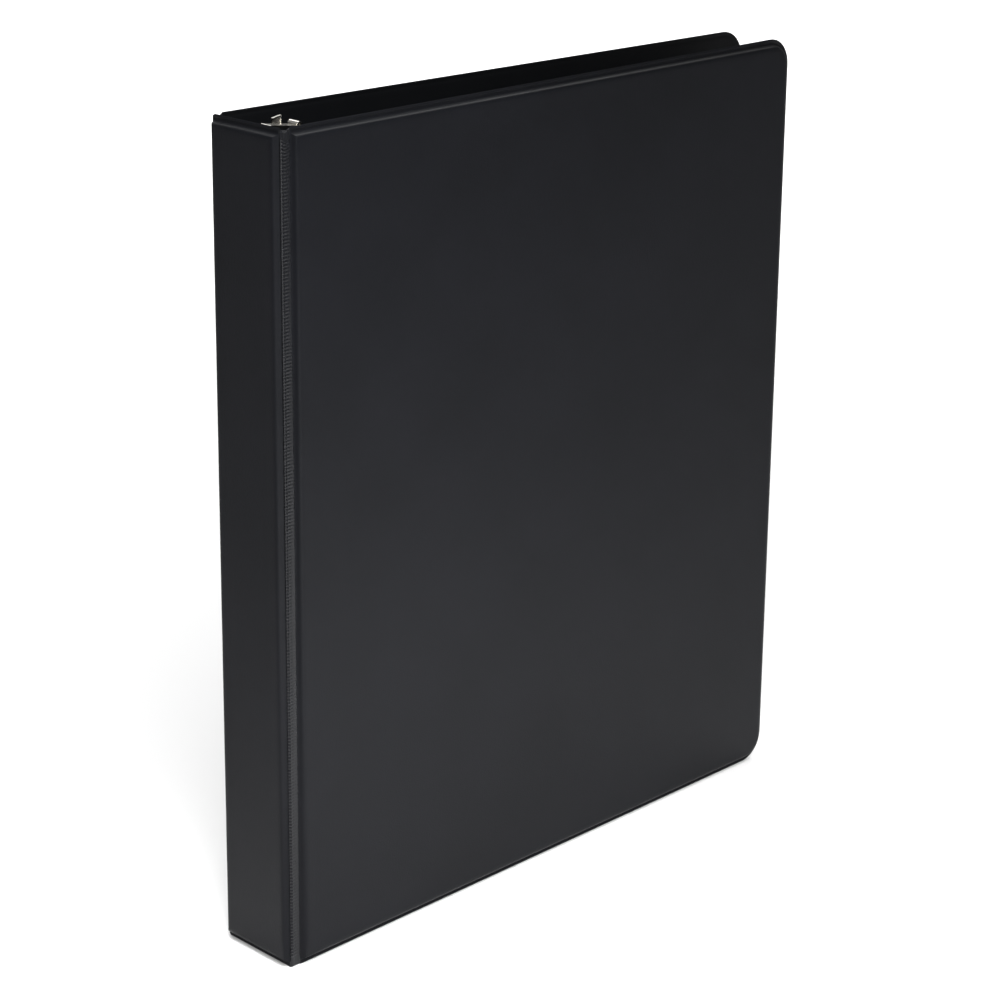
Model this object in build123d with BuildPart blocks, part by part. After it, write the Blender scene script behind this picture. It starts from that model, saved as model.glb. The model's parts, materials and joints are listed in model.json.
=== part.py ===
from build123d import *
import os
from math import atan, cos, degrees, radians, sin, sqrt

# Ring binder for letter paper: two covers and a spine of chipboard welded between two sheets of
# vinyl, and a three-ring mechanism riveted inside the spine.
#
# The binder stands closed on its lower edges. +Z is up, +X runs from the spine to the fore edge,
# and the front cover is on the -Y side. The origin is at the middle of the base.
# Lengths are in millimetres and angles in degrees.

# ---------------------------------------------------------------- covers and spine
height = 292.1  # over the welded top and bottom edges
cover_reach = 254.0  # from the hinge crease to the welded fore edge
crease_gap = 33.0  # between the two hinge creases
cover_lean = 1.16  # how far each closed cover leans in towards the other
board = 2.2  # thickness of the chipboard
vinyl = 0.3  # thickness of one sheet of vinyl
margin = 3.2  # welded edge beyond the boards
drape = 1.4  # width of the slope where the outer sheet falls off a board's edge
fore_corner = 10.5  # radius of a cover's two fore corners
hinge_web = 3.6  # welded strip between a crease and a cover's panel
crease_bead = 0.5  # radius of the bead that runs along a crease
web_clearance = 0.1  # between the welded strip and the cover's sheets
web_foot = 1.0  # how far the welded strip stays above the lower edge
web_notch = 2.0  # how far it stays below the upper edge
pocket_start = 36.0  # from the crease to an inside pocket's near seam
pocket_top = 168.0

# ---------------------------------------------------------------- ring mechanism
ring_pitch = 107.95
ring_wire = 2.8
ring_radius = 12.2  # to the middle of the wire
ring_rise = 16.5  # from the liner up to a ring's centre
ring_root = 28.0  # angle between a ring's lowest point and the bend at its root
tip_gap = 0.3  # between the two halves of a closed ring
tip_reach = 0.65  # how far one tip's pointed tongue reaches past the middle
tip_taper = 44.5
shield_length = 270.0
shield_half = 10.0
shield_rise = 7.6
shield_sheet = 0.8
slot_inner = 3.7  # where a ring's slot in the shield starts and ends, from the middle
slot_outer = 8.2
slot_clearance = 0.5
blade_sheet = 1.0
blade_length = 256.6
blade_pivot_rise = 2.8  # above the liner
blade_pivot_half = 6.6  # from the middle
blade_edge = 0.4  # the blade's outer edge, beyond its pivot
blade_seam = 0.2  # from the middle to a blade's inner edge
blade_dip = 6.0  # how far a closed blade tips down towards the spine
root_fit = 0.05  # around a ring's root in its blade
root_end = 1.8  # above the liner
rivet_offset = 120.0  # from the middle ring
rivet_shank = 1.9  # radii
rivet_head = 3.5
rivet_head_height = 1.0
rivet_taper = 45.0
rivet_seat = 0.4  # depth of the flat that a rivet's head sits on
rivet_flare = 0.6  # thickness of the rivet's spread end, sunk in the board
rivet_clearance = 0.1
post_radius = 3.0
post_height = 6.3
post_clearance = 0.5

# ---------------------------------------------------------------- levers
lever_pivot_drop = 15.1  # from the binder's top edge down to the upper lever's pivot
lever_pivot_rise = 2.55  # above the liner
lever_sheet = 0.8
lever_root_half = 4.5
lever_thumb_half = 2.4
lever_knee_rise = 7.9
lever_knee_drop = 2.6
lever_neck_rise = 19.6
lever_neck_drop = 4.2
lip_rise = 19.8
lip_drop = 3.5
lip_radius = 1.1
lip_bore = 0.5
ear_rise = (11.8, 15.4)
ear_drop = 0.35  # at its taller side, from the binder's top edge
ear_slant = 0.6  # how much lower its other side is
ear_sheet = 0.8
trunnion_radius = 1.0
trunnion_half = 8.8
trunnion_clearance = 0.15
finger_reach = 2.9
finger_angle = 12.0
finger_half = 2.0
finger_sheet = 0.55
finger_spread = 1.4  # from the middle of the fork to the middle of each finger

# ---------------------------------------------------------------- places worked out from them
panel = board + vinyl
lean = radians(cover_lean)
crease_x = (panel - cover_reach * cos(lean) - vinyl * sin(lean)) / 2
crease_y = crease_gap / 2
liner_x = crease_x + vinyl
middle = height / 2
board_start = hinge_web + drape
web_end = hinge_web - web_clearance
drape_angle = degrees(atan(drape / panel))
ring_levels = {
    "top": middle + ring_pitch,
    "middle": middle,
    "bottom": middle - ring_pitch,
}
rivet_levels = (middle + rivet_offset, middle - rivet_offset)
shield_low = middle - shield_length / 2
blade_low = middle - blade_length / 2
root_bend = radians(ring_root)
root_rise = ring_rise - ring_radius * cos(root_bend)
root_half = ring_radius * sin(root_bend)

# The front cover's weld plane: x along the cover, y up, and its normal out of the binder.
front_side = Plane(
    origin=(crease_x, -crease_y, 0),
    x_dir=(cos(lean), sin(lean), 0),
    z_dir=(sin(lean), -cos(lean), 0),
)
# The spine's weld plane: y up, and its normal out of the binder.
spine_side = Plane(origin=(crease_x, 0, 0), x_dir=(0, -1, 0), z_dir=(-1, 0, 0))
# A section along the binder, on the liner: x is the rise above the liner, and y is up.
long_section = Plane(origin=(liner_x, 0, 0), x_dir=(1, 0, 0), z_dir=(0, -1, 0))


def cross_section(level):
    """The level plane at a height: x is the rise above the spine's liner."""
    return Plane(origin=(liner_x, 0, level))


def cover_outline(start, inset, side=front_side):
    """A cover's outline from start to the fore edge, drawn in by inset at its free edges."""
    reach = cover_reach - inset
    with BuildSketch(side) as outline:
        with Locations(((start + reach) / 2, middle)):
            Rectangle(reach - start, height - 2 * inset)
        fillet(outline.vertices().group_by(Axis.X)[-1], fore_corner - inset)
    return outline.sketch


def spine_outline(half_width, inset, side=spine_side):
    """The spine's outline, drawn in by inset at its upper and lower edges."""
    with BuildSketch(side) as outline:
        with Locations((0, middle)):
            Rectangle(2 * half_width, height - 2 * inset)
    return outline.sketch


def across(level, rise=0.0, half=0.0):
    """A plane at a point of the mechanism whose normal points away from the spine."""
    return Plane(origin=(liner_x + rise, half, level), x_dir=(0, 1, 0), z_dir=(1, 0, 0))


# ---------------------------------------------------------------- the front cover
with BuildPart() as front_board:
    extrude(cover_outline(board_start, margin), amount=board)

with BuildPart() as front_outer_vinyl:
    extrude(cover_outline(hinge_web, 0), amount=vinyl)
    extrude(cover_outline(hinge_web, margin - drape), amount=panel, taper=drape_angle)
    extrude(cover_outline(board_start, margin), amount=board, mode=Mode.SUBTRACT)

with BuildPart() as front_inner_vinyl:
    extrude(cover_outline(hinge_web, 0), amount=-vinyl)

with BuildPart() as front_pocket:
    with BuildSketch(front_side.offset(-vinyl)):
        with Locations((pocket_start, margin)):
            Rectangle(
                cover_reach - margin - pocket_start,
                pocket_top - margin,
                align=(Align.MIN, Align.MIN),
            )
    extrude(amount=-vinyl)

# The welded strip between spine and cover: a bead along the crease, and a flat web.
with BuildPart() as front_hinge_strip:
    with BuildSketch(cross_section(web_foot)):
        with Locations((-vinyl, -crease_y)):
            Circle(crease_bead)
            Rectangle(web_end, 2 * vinyl, rotation=cover_lean, align=(Align.MIN, Align.CENTER))
    extrude(amount=height - web_foot - web_notch)

# ---------------------------------------------------------------- the spine
spine_board_half = crease_y - crease_bead - drape

with BuildPart() as spine_board:
    extrude(spine_outline(spine_board_half, margin), amount=board)
    for level in rivet_levels:
        with BuildSketch(across(level, -vinyl)):
            Circle(rivet_shank + rivet_clearance)
        extrude(amount=-board, mode=Mode.SUBTRACT)
        with BuildSketch(across(level, -vinyl - board)):
            Circle(rivet_head + rivet_clearance)
        extrude(amount=rivet_flare + rivet_clearance, mode=Mode.SUBTRACT)

with BuildPart() as spine_outer_vinyl:
    extrude(spine_outline(crease_y - crease_bead, 0), amount=vinyl)
    extrude(
        spine_outline(crease_y - crease_bead, margin - drape), amount=panel, taper=drape_angle
    )
    extrude(spine_outline(spine_board_half, margin), amount=board, mode=Mode.SUBTRACT)

with BuildPart() as spine_inner_vinyl:
    extrude(spine_outline(crease_y - crease_bead, 0), amount=-vinyl)
    for level in rivet_levels:
        with BuildSketch(across(level)):
            Circle(rivet_shank + rivet_clearance)
        extrude(amount=-vinyl, mode=Mode.SUBTRACT)

# ---------------------------------------------------------------- the ring mechanism
with BuildPart() as ring_shield:
    with BuildSketch(cross_section(shield_low)):
        with BuildLine():
            inner_half = shield_half - shield_sheet
            ThreePointArc((0, -shield_half), (shield_rise, 0), (0, shield_half))
            Line((0, shield_half), (0, inner_half))
            ThreePointArc((0, inner_half), (shield_rise - shield_sheet, 0), (0, -inner_half))
            Line((0, -inner_half), (0, -shield_half))
        make_face()
    extrude(amount=shield_length)
    # A slot for each half ring's root.
    for level in ring_levels.values():
        with BuildSketch(across(level)):
            with GridLocations(slot_inner + slot_outer, 0, 2, 1):
                Rectangle(slot_outer - slot_inner, ring_wire + 2 * slot_clearance)
        extrude(amount=shield_rise, mode=Mode.SUBTRACT)
    # A hole and a flat seat for each rivet.
    for level in rivet_levels:
        with BuildSketch(across(level)):
            Circle(rivet_shank + rivet_clearance)
        extrude(amount=shield_rise, mode=Mode.SUBTRACT)
        with BuildSketch(across(level, shield_rise - rivet_seat)):
            Circle(rivet_head + rivet_clearance)
        extrude(amount=rivet_seat, mode=Mode.SUBTRACT)
    # Holes in both sides for each lever's trunnions.
    with BuildSketch(long_section):
        with Locations(
            (lever_pivot_rise, height - lever_pivot_drop),
            (lever_pivot_rise, lever_pivot_drop),
        ):
            Circle(trunnion_radius + trunnion_clearance)
    extrude(amount=shield_half, both=True, mode=Mode.SUBTRACT)

with BuildPart() as mounting_rivets:
    for level in rivet_levels:
        seat_rise = shield_rise - rivet_seat
        with BuildSketch(across(level, seat_rise)):
            Circle(rivet_head)
        extrude(amount=rivet_head_height, taper=rivet_taper)
        with BuildSketch(across(level, seat_rise)):
            Circle(rivet_shank)
        extrude(amount=-(seat_rise + panel))
        with BuildSketch(across(level, -vinyl - board)):
            Circle(rivet_head)
        extrude(amount=rivet_flare)

with BuildPart() as standoff_posts:
    for level in rivet_levels:
        with BuildSketch(across(level)):
            Circle(post_radius)
            Circle(rivet_shank + rivet_clearance, mode=Mode.SUBTRACT)
        extrude(amount=post_height)


def blade_point(from_pivot, side):
    """A point of a closed blade's middle line, from its pivot in towards the seam."""
    dip = radians(blade_dip)
    rise = blade_pivot_rise - from_pivot * sin(dip)
    return (rise, side * (blade_pivot_half - from_pivot * cos(dip)))


def blade(side):
    """The hinge plate that carries three half rings: side -1 is nearer the front cover."""
    seam_from_pivot = (blade_pivot_half - blade_seam) / cos(radians(blade_dip))
    with BuildPart() as plate:
        with BuildSketch(cross_section(blade_low)):
            with BuildLine():
                Line(blade_point(-blade_edge, side), blade_point(seam_from_pivot, side))
            trace(line_width=blade_sheet)
        extrude(amount=blade_length)
        for level in ring_levels.values():
            with BuildSketch(across(level, half=side * root_half)):
                Circle(ring_wire / 2 + root_fit)
            extrude(amount=shield_rise, mode=Mode.SUBTRACT)
        for level in rivet_levels:
            with BuildSketch(across(level)):
                Circle(post_radius + post_clearance)
            extrude(amount=shield_rise, mode=Mode.SUBTRACT)
    return plate.part


def half_ring(level, side):
    """Half a ring, with its root through the blade: side -1 is nearer the front cover."""
    tip_angle = degrees(tip_gap / 2 / ring_radius)
    swept = 180 - ring_root - tip_angle
    with BuildPart() as ring:
        with BuildLine(cross_section(level)) as route:
            CenterArc((ring_rise, 0), ring_radius, side * tip_angle, side * swept)
        with BuildSketch(Plane(origin=route.line @ 0, z_dir=route.line % 0)):
            Circle(ring_wire / 2)
        sweep()
        with Locations(route.line @ 1):
            Sphere(ring_wire / 2)
        with BuildSketch(across(level, root_end, side * root_half)):
            Circle(ring_wire / 2)
        extrude(amount=root_rise - root_end)
        # One tip ends in a pointed tongue, and the other in a wider cup for it.
        reach = tip_reach if side > 0 else tip_reach + tip_gap * sqrt(2)
        base = tip_gap if side > 0 else 0
        tip_plane = Plane(
            origin=(liner_x + ring_rise + ring_radius, base, level), z_dir=(0, -1, 0)
        )
        with BuildSketch(tip_plane):
            Circle(base + reach)
        extrude(
            amount=base + reach,
            taper=tip_taper,
            mode=Mode.ADD if side > 0 else Mode.SUBTRACT,
        )
    return ring.part


# ---------------------------------------------------------------- the levers
pivot = (lever_pivot_rise, height - lever_pivot_drop)
knee = (lever_knee_rise, height - lever_knee_drop)
neck = (lever_neck_rise, height - lever_neck_drop)


def finger_line(spread):
    """Where one finger of the lever's fork starts and ends, beside the blades' ends."""
    turn = radians(finger_angle)
    along = (-sin(turn), -cos(turn))
    beside = (cos(turn), -sin(turn))
    start = (pivot[0] + spread * beside[0], pivot[1] + spread * beside[1])
    end = (start[0] + finger_reach * along[0], start[1] + finger_reach * along[1])
    return start, end


with BuildPart() as top_lever:
    # The leg out of the shield's end.
    with BuildSketch(long_section):
        with BuildLine():
            Line(pivot, knee)
        trace(line_width=lever_sheet)
    extrude(amount=lever_root_half, both=True)
    # The thumb plate, and the rolled lip at its end.
    with BuildSketch(long_section):
        with BuildLine():
            Line(knee, neck)
        trace(line_width=lever_sheet)
        with Locations(knee):
            Circle(lever_sheet / 2)
        with Locations((lip_rise, height - lip_drop)):
            Circle(lip_radius)
            Circle(lip_bore, mode=Mode.SUBTRACT)
    extrude(amount=lever_thumb_half, both=True)
    # The ear that stands on the thumb plate's edge.
    with BuildSketch(long_section.offset(-lever_thumb_half)):
        with BuildLine():
            Polyline(
                (ear_rise[0], height - lever_neck_drop),
                (ear_rise[1], height - lever_neck_drop),
                (ear_rise[1], height - ear_drop),
                (ear_rise[0], height - ear_drop - ear_slant),
                close=True,
            )
        make_face()
    extrude(amount=ear_sheet)
    # The trunnions, and the fork that grips the blades' ends.
    with BuildSketch(long_section):
        with Locations(pivot):
            Circle(trunnion_radius)
    extrude(amount=trunnion_half, both=True)
    with BuildSketch(long_section):
        for spread in (-finger_spread, finger_spread):
            with BuildLine():
                Line(*finger_line(spread))
            trace(line_width=finger_sheet)
        with BuildLine():
            Line(finger_line(-finger_spread)[0], finger_line(finger_spread)[0])
        trace(line_width=finger_sheet)
    extrude(amount=finger_half, both=True)

# ---------------------------------------------------------------- every piece, by name
pieces = {
    "spine_board": spine_board.part,
    "spine_outer_vinyl": spine_outer_vinyl.part,
    "spine_inner_vinyl": spine_inner_vinyl.part,
    "ring_shield": ring_shield.part,
    "mounting_rivets": mounting_rivets.part,
    "standoff_posts": standoff_posts.part,
    "top_lever": top_lever.part,
    "bottom_lever": mirror(top_lever.part, about=Plane.XY.offset(middle)),
}
# The back cover mirrors the front one.
front_pieces = {
    "board": front_board,
    "outer_vinyl": front_outer_vinyl,
    "inner_vinyl": front_inner_vinyl,
    "pocket": front_pocket,
    "hinge_strip": front_hinge_strip,
}
for name, piece in front_pieces.items():
    pieces[f"front_{name}"] = piece.part
    pieces[f"back_{name}"] = mirror(piece.part, about=Plane.XZ)
for side_name, side in (("front", -1), ("back", 1)):
    pieces[f"{side_name}_blade"] = blade(side)
    for level_name, level in ring_levels.items():
        pieces[f"{side_name}_half_ring_{level_name}"] = half_ring(level, side)

os.makedirs("parts", exist_ok=True)
for name, piece in pieces.items():
    piece.label = name
    export_step(piece, f"parts/{name}.step")
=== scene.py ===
import json
from math import cos, pi, radians, sin

import bmesh
import bpy
from mathutils import Matrix, Vector, noise


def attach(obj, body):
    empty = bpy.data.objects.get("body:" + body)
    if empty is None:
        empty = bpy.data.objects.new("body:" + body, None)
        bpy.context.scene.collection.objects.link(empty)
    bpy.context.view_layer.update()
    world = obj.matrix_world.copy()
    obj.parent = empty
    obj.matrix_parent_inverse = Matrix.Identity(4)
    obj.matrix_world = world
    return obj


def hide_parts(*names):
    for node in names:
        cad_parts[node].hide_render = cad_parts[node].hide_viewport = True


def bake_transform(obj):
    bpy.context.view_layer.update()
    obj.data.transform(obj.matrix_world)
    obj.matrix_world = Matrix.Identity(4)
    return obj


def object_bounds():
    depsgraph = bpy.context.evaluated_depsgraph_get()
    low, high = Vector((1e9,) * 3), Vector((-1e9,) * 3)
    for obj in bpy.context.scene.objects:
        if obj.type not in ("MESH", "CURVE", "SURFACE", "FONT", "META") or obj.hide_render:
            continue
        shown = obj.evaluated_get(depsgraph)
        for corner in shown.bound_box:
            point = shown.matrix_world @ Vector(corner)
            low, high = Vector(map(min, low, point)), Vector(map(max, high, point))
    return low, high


# The looks of a one-inch ring binder for letter paper: heat-sealed black vinyl over chipboard,
# and a nickel-plated ring mechanism. Lengths named here are in millimetres unless they say
# otherwise, and MM turns them into the frame's metres.

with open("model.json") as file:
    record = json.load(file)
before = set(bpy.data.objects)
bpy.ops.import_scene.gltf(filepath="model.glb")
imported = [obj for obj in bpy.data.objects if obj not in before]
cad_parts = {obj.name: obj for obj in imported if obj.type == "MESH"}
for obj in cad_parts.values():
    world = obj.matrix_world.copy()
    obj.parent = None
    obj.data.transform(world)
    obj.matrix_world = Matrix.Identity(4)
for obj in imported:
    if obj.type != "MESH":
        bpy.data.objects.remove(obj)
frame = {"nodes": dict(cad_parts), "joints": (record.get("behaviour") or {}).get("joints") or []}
cad_low, cad_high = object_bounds()
MM = 0.001

# ---------------------------------------------------------------- sizes shared with the CAD parts
height = (cad_high.z - cad_low.z) / MM
joints = {joint["name"]: joint for joint in frame["joints"]}
crease_x = joints["front_cover_hinge"]["pos_m"][0] / MM
crease_y = joints["back_cover_hinge"]["pos_m"][1] / MM
cover_lean = radians(1.16)
cover_reach = 254.0
vinyl = 0.3  # one sheet
panel = 2.5  # board and outer sheet, above the weld plane
margin = 3.2  # welded edge beyond the boards
drape_foot = 1.8  # where the outer sheet starts to climb a board's edge, from the free edge
hinge_web = 3.6  # from the crease to where a cover's panel starts
crease_bead = 0.5  # from the crease to the sides of its folded bead
fore_corner = 10.5  # radius
pocket_start = 36.0  # from the crease
pocket_top = 168.0

# ---------------------------------------------------------------- how finely meshes are drawn
smooth_up_to = radians(50)  # edges that turn further than this are corners
merge_mm = 1e-4  # points of a mesh drawn in mm that are closer than this are one
merge_m = 1e-7  # the same for a mesh drawn in metres
stitch_mm = 1e-3  # the same where a panel's middle meets its edge
same_place = 1e-6
corner_steps = 10
cover_columns = 62
spine_columns = 6
panel_rows = 70

# ---------------------------------------------------------------- unevenness of the vinyl
slack = 0.03  # a sheet's rise and fall over its board
slack_length = 60.0
pucker = 0.05  # the same on the welded edge's slope
pucker_length = 17.0
outer_seed = 3.0
pocket_seed = 5.0
inner_seed = 7.0
spine_outer_seed = 11.0
spine_inner_seed = 13.0


# ---------------------------------------------------------------- small helpers
def side_axes(origin, along, outward):
    """The matrix from a panel's own axes (along, up, outward), in mm, to the frame, in metres."""
    columns = [Vector(along), Vector((0, 0, 1)), Vector(outward)]
    turn = Matrix(columns).transposed().to_4x4()
    return Matrix.Translation(Vector(origin) * MM) @ turn @ Matrix.Scale(MM, 4)


def cover_axes(side, inward=False):
    """Axes of a cover's weld plane: side -1 is the front cover, and 1 the back cover."""
    along = (cos(cover_lean), -side * sin(cover_lean), 0)
    outward = Vector((sin(cover_lean), side * cos(cover_lean), 0))
    return side_axes((crease_x, side * crease_y, 0), along, -outward if inward else outward)


def spine_axes(inward=False):
    """Axes of the spine's weld plane, from its middle."""
    return side_axes((crease_x, 0, 0), (0, -1, 0), (1, 0, 0) if inward else (-1, 0, 0))


def finish_mesh(name, bm, axes=None):
    """Turns a bmesh into an object, shaded smooth. Without axes it is drawn in metres."""
    bmesh.ops.remove_doubles(bm, verts=bm.verts, dist=merge_mm if axes else merge_m)
    if axes:
        bm.transform(axes)
        if axes.determinant() < 0:
            bmesh.ops.reverse_faces(bm, faces=bm.faces)
    mesh = bpy.data.meshes.new(name)
    bm.to_mesh(mesh)
    bm.free()
    smooth_curves(mesh)
    piece = bpy.data.objects.new(name, mesh)
    bpy.context.scene.collection.objects.link(piece)
    return piece


def smooth_curves(mesh):
    """Shades a mesh smooth, apart from its corners."""
    mesh.shade_smooth()
    mesh.set_sharp_from_angle(angle=smooth_up_to)


def dress(piece, material, slot, body, *replaced):
    """Gives a piece its material, the body that it rides on and the CAD nodes it stands for."""
    piece.data.materials.clear()
    piece.data.materials.append(material)
    if body:
        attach(piece, body)
    if replaced:
        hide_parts(*replaced)
    return piece


def fill_grid(bm, grid):
    """Adds the faces between a grid's points, which are given as a list of columns."""
    for column, following in zip(grid, grid[1:]):
        for j in range(len(column) - 1):
            bm.faces.new((column[j], following[j], following[j + 1], column[j + 1]))


def thicken(piece, thickness):
    """Gives a sheet its thickness, below its drawn surface."""
    solid = piece.modifiers.new("sheet", "SOLIDIFY")
    solid.thickness = thickness * MM
    solid.offset = -1
    graph = bpy.context.evaluated_depsgraph_get()
    thick = bpy.data.meshes.new_from_object(piece.evaluated_get(graph))
    piece.modifiers.clear()
    piece.data = thick
    smooth_curves(thick)


# ---------------------------------------------------------------- welded vinyl panels
# Each profile is a list of (distance in from the free edge, height above the weld plane).
OUTER_PROFILE = [
    (0.00, 0.21),
    (0.08, 0.29),
    (0.40, 0.36),
    (0.75, 0.36),
    (1.00, 0.22),
    (1.25, 0.16),
    (1.50, 0.18),
    (1.80, 0.31),
    (2.05, 0.62),
    (2.25, 1.10),
    (2.45, 1.62),
    (2.65, 2.00),
    (2.90, 2.26),
    (3.25, 2.41),
    (3.90, 2.48),
    (4.80, 2.50),
    (6.50, 2.50),
    (8.50, 2.50),
    (10.50, 2.50),
]
INNER_PROFILE = [
    (0.00, 0.21),
    (0.08, 0.29),
    (0.40, 0.32),
    (0.80, 0.30),
    (1.10, 0.24),
    (1.50, 0.23),
    (1.80, 0.29),
    (2.60, 0.33),
    (3.40, 0.30),
    (5.00, 0.30),
    (10.50, 0.30),
]


class Outline:
    """A panel's outline. A side with a skip starts that far into the edge's profile."""

    def __init__(self, left, right, skip_left=0.0, skip_right=0.0, corner=0.0):
        self.left, self.right = left, right
        self.skip_left, self.skip_right = skip_left, skip_right
        self.corner = corner

    def edges(self, inset):
        """Left, right, low and high of the outline at an inset."""
        return (
            self.left + max(inset - self.skip_left, 0),
            self.right - max(inset - self.skip_right, 0),
            inset,
            height - inset,
        )

    def corner_points(self, inset, low):
        """The lower or upper corner on the right, as an arc or a single point."""
        _, right, bottom, top = self.edges(inset)
        edge, sign = (bottom, 1) if low else (top, -1)
        radius = max(self.corner - inset, 0)
        if not self.corner:
            return [(right, edge)]
        points = []
        for step in range(corner_steps + 1):
            angle = pi / 2 * step / corner_steps
            points.append(
                (
                    right - radius + radius * sin(angle),
                    edge + sign * (radius - radius * cos(angle)),
                )
            )
        return points if low else points[::-1]

    def skips(self, inset, start, end):
        """Whether the edge from start to end is on a side that hasn't begun at this inset."""
        on_left = max(abs(start.x - self.left), abs(end.x - self.left)) < same_place
        on_right = max(abs(start.x - self.right), abs(end.x - self.right)) < same_place
        return (on_left and inset <= self.skip_left) or (on_right and inset <= self.skip_right)

    def grid(self, across, up):
        """Columns and rows of the flat middle, inside the edge's profile."""
        left, right, low, high = self.edges(fore_corner)
        columns = [left + (right - left) * i / across for i in range(across + 1)]
        rows = [low + (high - low) * i / up for i in range(up + 1)]
        return columns, rows

    def ring(self, inset, columns, rows):
        """Every point round the outline at an inset, starting at the lower left corner."""
        left, right, low, high = self.edges(inset)
        points = [(left, low)] + [(x, low) for x in columns]
        points += self.corner_points(inset, low=True)
        points += [(right, y) for y in rows]
        points += self.corner_points(inset, low=False)
        points += [(x, high) for x in reversed(columns)]
        points += [(left, high)] + [(left, y) for y in reversed(rows)]
        return points


def ripple(x, y, seed, length, amount):
    """A slow, seeded unevenness of a sheet, in mm."""
    return amount * noise.noise(Vector((x / length, y / length, seed)))


def panel_rise(x, y, inset, seed):
    """How far a sheet's unevenness lifts it, at a point that far in from the free edge."""
    if inset >= 2 * margin:
        return ripple(x, y, seed, slack_length, slack) - slack
    if inset > drape_foot:
        return ripple(x, y, seed, pucker_length, pucker)
    return 0.0


def panel_sheet(name, outline, profile, axes, seed, across):
    """A sheet of vinyl over an outline, with its welded edges and a slight unevenness."""
    bm = bmesh.new()
    columns, rows = outline.grid(across, panel_rows)
    rings = []
    for inset, lift in profile:
        ring = []
        for x, y in outline.ring(inset, columns, rows):
            level = min(lift + panel_rise(x, y, inset, seed), panel)
            ring.append(bm.verts.new((x, y, level)))
        rings.append(ring)
    for (inset, _), outer, inner in zip(profile[1:], rings, rings[1:]):
        for i in range(len(outer)):
            j = (i + 1) % len(outer)
            if not outline.skips(inset, outer[i].co, outer[j].co):
                bm.faces.new((outer[i], outer[j], inner[j], inner[i]))
    inset, flat = profile[-1]
    grid = [
        [bm.verts.new((x, y, flat + panel_rise(x, y, inset, seed))) for y in rows]
        for x in columns
    ]
    fill_grid(bm, grid)
    bmesh.ops.delete(bm, geom=[v for v in bm.verts if not v.link_faces], context="VERTS")
    bmesh.ops.remove_doubles(bm, verts=bm.verts, dist=stitch_mm)
    sheet = finish_mesh(name, bm, axes)
    thicken(sheet, vinyl)
    return sheet


def cover_sheets(side, side_name, materials):
    """A cover's outer and inner sheets."""
    outline = Outline(hinge_web, cover_reach, skip_left=drape_foot, corner=fore_corner)
    outer = panel_sheet(
        f"{side_name}_cover_outer", outline, OUTER_PROFILE, cover_axes(side),
        outer_seed + side, cover_columns,
    )
    dress(
        outer, materials["outer"], "outer_vinyl", f"{side_name}_cover",
        f"{side_name}_outer_vinyl",
    )
    inner = panel_sheet(
        f"{side_name}_cover_inner", outline, INNER_PROFILE, cover_axes(side, inward=True),
        inner_seed + side, cover_columns,
    )
    dress(
        inner, materials["inner"], "inner_vinyl", f"{side_name}_cover",
        f"{side_name}_inner_vinyl",
    )


def spine_sheets(materials):
    """The spine's outer and inner sheets."""
    half = crease_y - crease_bead
    outline = Outline(-half, half, skip_left=drape_foot, skip_right=drape_foot)
    outer = panel_sheet(
        "spine_outer", outline, OUTER_PROFILE, spine_axes(), spine_outer_seed, spine_columns
    )
    dress(outer, materials["outer"], "outer_vinyl", "spine", "spine_outer_vinyl")
    inner = panel_sheet(
        "spine_inner", outline, INNER_PROFILE, spine_axes(inward=True), spine_inner_seed,
        spine_columns,
    )
    dress(inner, materials["inner"], "inner_vinyl", "spine", "spine_inner_vinyl")


# ---------------------------------------------------------------- ribbed hinge strips
rib_pitch = 1.17
rib_steps = 6  # stations along each rib
rib_height = 0.34
strip_low = 0.4
strip_high = height - 0.3
plain_foot = 3.4  # smooth stretch at the strip's lower end
plain_head = 3.0
notch = 1.5  # how far the folded crease draws the strip's upper end in
notch_start = -0.5  # where the notch starts, along the cover
notch_width = 4.1
notch_fade = 40  # the higher, the shorter the stretch that is drawn in


def strip_section():
    """The strip's section round the crease, as (along the cover, outward, rib height)."""
    outer = [
        (-0.30, -0.62, 0.0),
        (-0.31, -0.45, 0.0),
        (-0.34, -0.20, 0.3),
        (-0.40, 0.10, 0.9),
        (-0.36, 0.34, 1.0),
        (-0.18, 0.48, 1.0),
        (0.08, 0.50, 1.0),
        (0.30, 0.42, 0.7),
        (0.48, 0.28, 0.2),
        (0.75, 0.20, 0.1),
        (1.00, 0.24, 0.2),
        (1.25, 0.27, 0.4),
        (1.55, 0.27, 0.4),
        (1.80, 0.24, 0.2),
        (2.10, 0.20, 0.1),
        (2.60, 0.24, 0.2),
        (3.10, 0.30, 0.0),
        (3.60, 0.31, 0.0),
    ]
    inner = [
        (3.60, 0.01, 0.0),
        (3.60, -0.30, 0.0),
        (2.80, -0.32, 0.0),
        (1.90, -0.30, 0.0),
        (1.00, -0.32, 0.0),
        (0.55, -0.36, 0.0),
        (0.36, -0.50, 0.0),
        (0.30, -0.62, 0.0),
    ]
    return outer + inner


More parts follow.
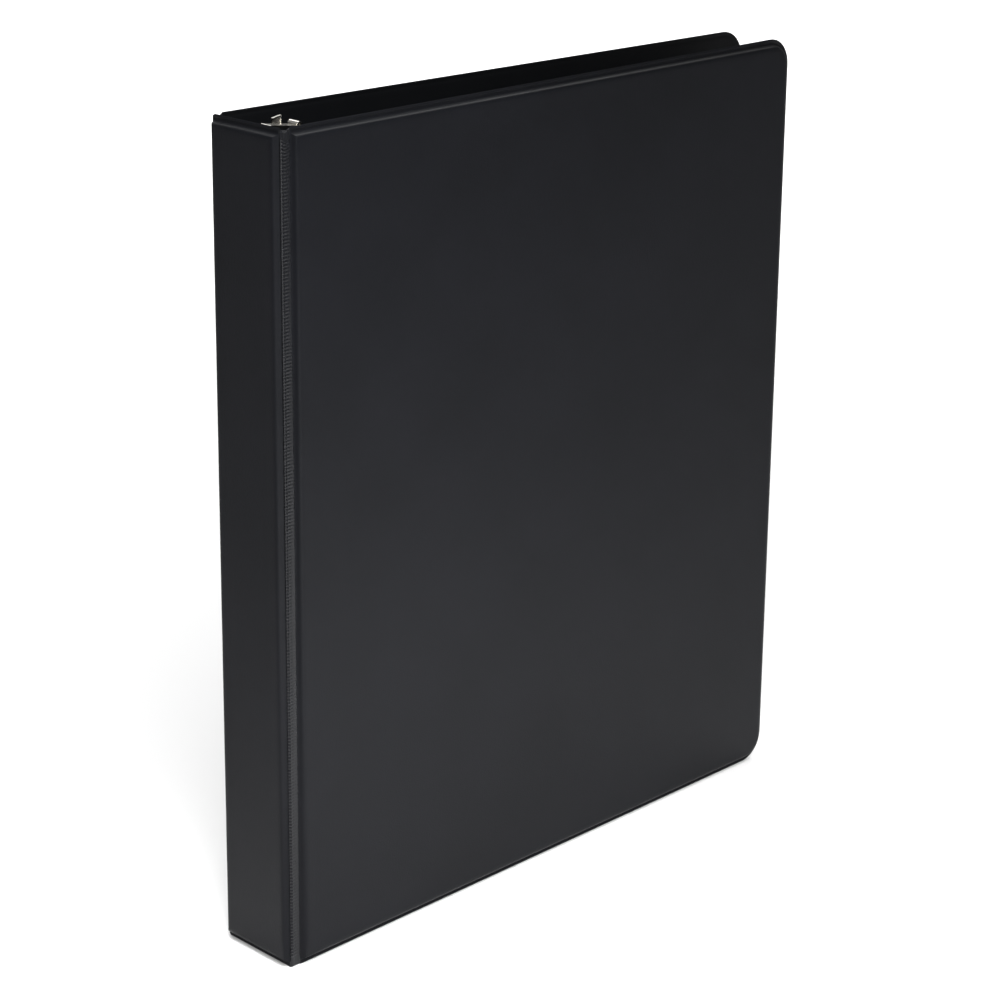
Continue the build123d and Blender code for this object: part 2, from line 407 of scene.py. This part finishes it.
def hinge_strip(side, side_name, material):
    """The welded web between the spine and a cover, ribbed outside by the welding bar."""
    bm = bmesh.new()
    section = strip_section()
    stations = int((strip_high - strip_low) / rib_pitch * rib_steps)
    loops = []
    for k in range(stations + 1):
        share = k / stations
        z = strip_low + (strip_high - strip_low) * share
        plain = z - strip_low < plain_foot or strip_high - z < plain_head
        wave = 0.0 if plain else 0.5 - 0.5 * cos(2 * pi * k / rib_steps)
        loop = []
        for along, outward, rib in section:
            drawn_in = notch * sin(pi * (along - notch_start) / notch_width) ** 2
            level = z - drawn_in * share**notch_fade
            out = outward + rib * rib_height * (wave - 1.0)
            loop.append(bm.verts.new((along, level, out)))
        loops.append(loop)
    count = len(section)
    for low, high in zip(loops, loops[1:]):
        for i in range(count):
            j = (i + 1) % count
            bm.faces.new((low[i], low[j], high[j], high[i]))
    bm.faces.new(loops[0][::-1])
    bm.faces.new(loops[-1])
    bmesh.ops.recalc_face_normals(bm, faces=bm.faces)
    strip = finish_mesh(f"{side_name}_hinge", bm, cover_axes(side))
    dress(strip, material, "hinge_vinyl", None, f"{side_name}_hinge_strip")
    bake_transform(strip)


# ---------------------------------------------------------------- inside pockets
pocket_sheet = 0.28
pocket_columns = 48
pocket_rows = 44
pocket_weld = 1.6
pocket_groove = (0.5, 1.1)  # the stretch of the weld that the bar pressed deeper
groove_depth = 0.06
pocket_hem = 2.2
hem_rise = 0.12
pocket_lift = 0.05  # clearance inside the weld
pocket_bulge = 1.1  # slack at the middle of the open edge
bulge_fullness = 0.7  # the lower, the further the slack reaches towards the side welds
wave_length = 35.0
wave_height = 0.12


def pocket_rise(x, y, side):
    """How far a pocket's sheet stands off the liner, at a point of the cover."""
    left, right, low, high = pocket_start, cover_reach - margin, margin, pocket_top
    edge = min(x - left, right - x, y - low)
    rise = 0.0
    if edge > pocket_weld:
        towards_top = ((y - low) / (high - low)) ** 2
        towards_middle = sin(pi * (x - left) / (right - left)) ** bulge_fullness
        rise = pocket_bulge * towards_top * towards_middle + pocket_lift
        wave = ripple(x, y, pocket_seed + side, wave_length, wave_height)
        rise += wave * towards_top * towards_middle
    groove_start, groove_end = pocket_groove
    if groove_start < edge < groove_end:
        rise -= groove_depth
    if high - y < pocket_hem:
        rise += hem_rise
    return rise


def pocket(side, side_name, material):
    """A sheet welded to the liner on three sides, open and slightly slack at its top."""
    left, right, low, high = pocket_start, cover_reach - margin, margin, pocket_top
    bm = bmesh.new()
    grid = []
    for i in range(pocket_columns + 1):
        x = left + (right - left) * (0.5 - 0.5 * cos(pi * i / pocket_columns))
        column = []
        for j in range(pocket_rows + 1):
            y = low + (high - low) * sin(pi / 2 * j / pocket_rows)
            column.append(bm.verts.new((x, y, 2 * vinyl + pocket_rise(x, y, side))))
        grid.append(column)
    fill_grid(bm, grid)
    sheet = finish_mesh(f"{side_name}_inside_pocket", bm, cover_axes(side, inward=True))
    thicken(sheet, pocket_sheet)
    dress(sheet, material, "pocket_vinyl", f"{side_name}_cover", f"{side_name}_pocket")


# ---------------------------------------------------------------- materials
NOISE_LOW, NOISE_HIGH = 0.3, 0.7  # the stretch that a noise's values mostly cover


class Shader:
    """A material that starts with a plain shader, with short ways to add nodes."""

    def __init__(self, name):
        self.material = bpy.data.materials.new(name)
        self.material.use_nodes = True
        self.nodes = self.material.node_tree.nodes
        self.links = self.material.node_tree.links
        self.surface = self.nodes["Principled BSDF"]
        self.place = self.nodes.new("ShaderNodeTexCoord").outputs["Object"]

    def set(self, **values):
        """Sets sockets of the surface that are named by one word."""
        for name, value in values.items():
            self.surface.inputs[name].default_value = value

    def join(self, output, node, socket):
        """Links an output to a named socket of a node."""
        self.links.new(output, node.inputs[socket])

    def noise(self, size, detail=2.0, stretch=(1, 1, 1)):
        """Noise whose features are about size mm, stretched along the frame's axes."""
        scale = self.nodes.new("ShaderNodeMapping")
        scale.inputs["Scale"].default_value = [1 / (size * MM * s) for s in stretch]
        self.join(self.place, scale, "Vector")
        made = self.nodes.new("ShaderNodeTexNoise")
        made.inputs["Scale"].default_value = 1.0
        made.inputs["Detail"].default_value = detail
        self.join(scale.outputs["Vector"], made, "Vector")
        return made.outputs["Fac"]

    def cells(self, size):
        """Rounded cells of about size mm, as in a pressed grain."""
        made = self.nodes.new("ShaderNodeTexVoronoi")
        made.feature = "SMOOTH_F1"
        made.inputs["Scale"].default_value = 1 / (size * MM)
        made.inputs["Smoothness"].default_value = 0.6
        self.join(self.place, made, "Vector")
        return made.outputs["Distance"]

    def spread(self, value, low, high):
        """A noise's value, spread from low to high."""
        made = self.nodes.new("ShaderNodeMapRange")
        made.inputs["From Min"].default_value = NOISE_LOW
        made.inputs["From Max"].default_value = NOISE_HIGH
        made.inputs["To Min"].default_value = low
        made.inputs["To Max"].default_value = high
        self.join(value, made, "Value")
        return made.outputs["Result"]

    def colours(self, value, dark, light):
        """A colour that goes from dark to light with a noise's value."""
        made = self.nodes.new("ShaderNodeValToRGB")
        first, last = made.color_ramp.elements
        first.position, last.position = NOISE_LOW, NOISE_HIGH
        first.color, last.color = (*dark, 1), (*light, 1)
        self.join(value, made, "Fac")
        return made.outputs["Color"]

    def bump(self, value, depth, below=None):
        """A bump of depth mm, on top of another one if below is given."""
        made = self.nodes.new("ShaderNodeBump")
        made.inputs["Strength"].default_value = 1.0
        made.inputs["Distance"].default_value = depth * MM
        self.join(value, made, "Height")
        if below:
            self.join(below, made, "Normal")
        return made.outputs["Normal"]


def vinyl_material(name, dark, light, rough, grain, depth, specular=0.08):
    """Calendered black vinyl with a fine pressed grain and a faint unevenness of its gloss.

    grain is the width of the pressed cells and depth is how deep they are, in mm.
    """
    tone_size, gloss_size = 38.0, 9.0
    duller, glossier = 0.03, 0.02
    fine_size, fine_depth = 0.45 * grain, 0.5 * depth
    shader = Shader(name)
    tone = shader.noise(tone_size, detail=3.0)
    shader.join(shader.colours(tone, dark, light), shader.surface, "Base Color")
    gloss = shader.noise(gloss_size, detail=4.0)
    shader.join(
        shader.spread(gloss, rough - glossier, rough + duller), shader.surface, "Roughness"
    )
    pressed = shader.bump(shader.cells(grain), depth)
    fine = shader.bump(shader.noise(fine_size, detail=3.0), fine_depth, below=pressed)
    shader.join(fine, shader.surface, "Normal")
    shader.surface.inputs["Specular IOR Level"].default_value = specular
    return shader.material


def nickel_material(name, rough, brushed):
    """Nickel plate, warmer than chrome, with drawing marks that brushed stretches."""
    tone_size, mark_size, mark_depth = 14.0, 0.16, 0.0015
    duller, glossier = 0.05, 0.03
    dark, light = (0.60, 0.575, 0.53), (0.70, 0.68, 0.64)
    shader = Shader(name)
    shader.set(Metallic=1.0)
    tone = shader.noise(tone_size, detail=3.0)
    shader.join(shader.colours(tone, dark, light), shader.surface, "Base Color")
    marks = shader.noise(mark_size, stretch=brushed)
    shader.join(
        shader.spread(marks, rough - glossier, rough + duller), shader.surface, "Roughness"
    )
    shader.join(shader.bump(marks, mark_depth), shader.surface, "Normal")
    return shader.material


def chipboard_material():
    """Raw grey board with darker fibres."""
    fibre_size, fibre_depth = 1.2, 0.05
    dark, light = (0.23, 0.20, 0.17), (0.38, 0.34, 0.29)
    shader = Shader("chipboard")
    shader.set(Roughness=0.9)
    fibres = shader.noise(fibre_size, detail=5.0, stretch=(1, 1, 4))
    shader.join(shader.colours(fibres, dark, light), shader.surface, "Base Color")
    shader.join(shader.bump(fibres, fibre_depth), shader.surface, "Normal")
    return shader.material


broken_corner = 0.22


def paint_cad_nodes(plate, wire, board):
    """Dresses the CAD nodes whose own shape is shown, and breaks the plate's corners."""
    for name, node in frame["nodes"].items():
        if node.hide_render:
            continue
        material = board if "board" in name else wire if "half_ring" in name else plate
        node.data.materials.clear()
        node.data.materials.append(material)
        if material is plate:
            corners = node.modifiers.new("broken_corners", "BEVEL")
            corners.width = broken_corner * MM
            corners.segments = 3
            corners.limit_method = "ANGLE"
            corners.angle_limit = radians(40)
            corners.harden_normals = True


# ---------------------------------------------------------------- stage, light and camera
view_azimuth = -43.92  # degrees


def softbox(name, beyond, beside, rise, width, length, power, spread, tilt=0):
    """A soft light, so far beyond, to the right of and above the binder's foot.

    Lengths are in metres, power is in watts, and angles are in degrees. It faces the floor,
    and a tilt turns it away from the camera.
    """
    data = bpy.data.lights.new(name, "AREA")
    data.shape = "RECTANGLE"
    data.size, data.size_y, data.energy = width, length, power
    data.spread = radians(spread)
    light = bpy.data.objects.new(name, data)
    bpy.context.scene.collection.objects.link(light)
    turn = radians(view_azimuth)
    forward = Vector((-sin(turn), cos(turn), 0))
    rightward = Vector((cos(turn), sin(turn), 0))
    light.location = beyond * forward + beside * rightward + Vector((0, 0, rise))
    light.rotation_euler = (radians(tilt), 0, turn)
    light.visible_camera = False


def pale_floor():
    """A plain round floor, barely uneven in tone."""
    reach = 6.0  # metres
    dark, light = (0.86, 0.86, 0.86), (0.88, 0.88, 0.88)
    bm = bmesh.new()
    bmesh.ops.create_circle(bm, cap_ends=True, segments=96, radius=reach)
    floor = finish_mesh("floor", bm)
    shader = Shader("pale_floor")
    shader.set(Roughness=0.9)
    tone = shader.noise(400.0)
    shader.join(shader.colours(tone, dark, light), shader.surface, "Base Color")
    floor.data.materials.append(shader.material)


def studio_light():
    """A dim white sky and three softboxes, placed so that gloss fades up the covers."""
    world = bpy.data.worlds.new("sky")
    world.use_nodes = True
    sky = world.node_tree.nodes["Background"]
    sky.inputs["Color"].default_value = (1, 1, 1, 1)
    sky.inputs["Strength"].default_value = 0.27
    bpy.context.scene.world = world
    softbox(
        "near_softbox", beyond=-0.45, beside=0.12, rise=0.5,
        width=0.5, length=0.6, power=6.4, spread=108,
    )
    softbox(
        "front_softbox", beyond=-1.2, beside=0.0, rise=0.8,
        width=0.4, length=0.3, power=7.0, spread=180, tilt=62,
    )
    softbox(
        "far_softbox", beyond=1.7, beside=0.0, rise=1.6,
        width=1.6, length=2.2, power=44.0, spread=140,
    )
    bpy.context.scene.view_settings.view_transform = "Standard"


def camera():
    """Looks at the binder's front hinge from the left, a little above it."""
    azimuth, elevation, roll = radians(view_azimuth), radians(17.39), radians(0.28)
    crease_to_camera = Vector((-0.54736, -0.64353, 0.46062))
    back = Vector(
        (sin(azimuth) * cos(elevation), -cos(azimuth) * cos(elevation), sin(elevation))
    )
    level_right = (-back).cross(Vector((0, 0, 1))).normalized()
    level_up = level_right.cross(-back)
    right = cos(roll) * level_right + sin(roll) * level_up
    up = -sin(roll) * level_right + cos(roll) * level_up
    data = bpy.data.cameras.new("camera")
    data.sensor_width = 36.0
    data.lens = 98.78
    data.shift_x, data.shift_y = 0.0536, -0.0780
    data.clip_start = 0.05
    eye = bpy.data.objects.new("camera", data)
    bpy.context.scene.collection.objects.link(eye)
    turn = Matrix((right, up, back)).transposed().to_4x4()
    place = Vector((crease_x, -crease_y, 0)) * MM + crease_to_camera
    eye.matrix_world = Matrix.Translation(place) @ turn
    bpy.context.scene.camera = eye


# ---------------------------------------------------------------- build it
vinyls = {
    "outer": vinyl_material(
        "outer_vinyl", (0.0050, 0.0054, 0.0068), (0.0062, 0.0066, 0.0084),
        rough=0.36, grain=0.55, depth=0.03,
    ),
    "hinge": vinyl_material(
        "hinge_vinyl", (0.0052, 0.0056, 0.0068), (0.0064, 0.0068, 0.0084),
        rough=0.22, grain=0.55, depth=0.01, specular=0.20,
    ),
    "inner": vinyl_material(
        "inner_vinyl", (0.0048, 0.0052, 0.0060), (0.0058, 0.0062, 0.0072),
        rough=0.42, grain=0.9, depth=0.012,
    ),
    "pocket": vinyl_material(
        "pocket_vinyl", (0.0050, 0.0054, 0.0062), (0.0062, 0.0066, 0.0076),
        rough=0.36, grain=1.2, depth=0.008,
    ),
}
spine_sheets(vinyls)
for side, side_name in ((-1, "front"), (1, "back")):
    cover_sheets(side, side_name, vinyls)
    hinge_strip(side, side_name, vinyls["hinge"])
    pocket(side, side_name, vinyls["pocket"])
paint_cad_nodes(
    nickel_material("nickel_plate", rough=0.20, brushed=(1, 1, 8)),
    nickel_material("ring_wire", rough=0.12, brushed=(1, 1, 1)),
    chipboard_material(),
)
pale_floor()
studio_light()
camera()
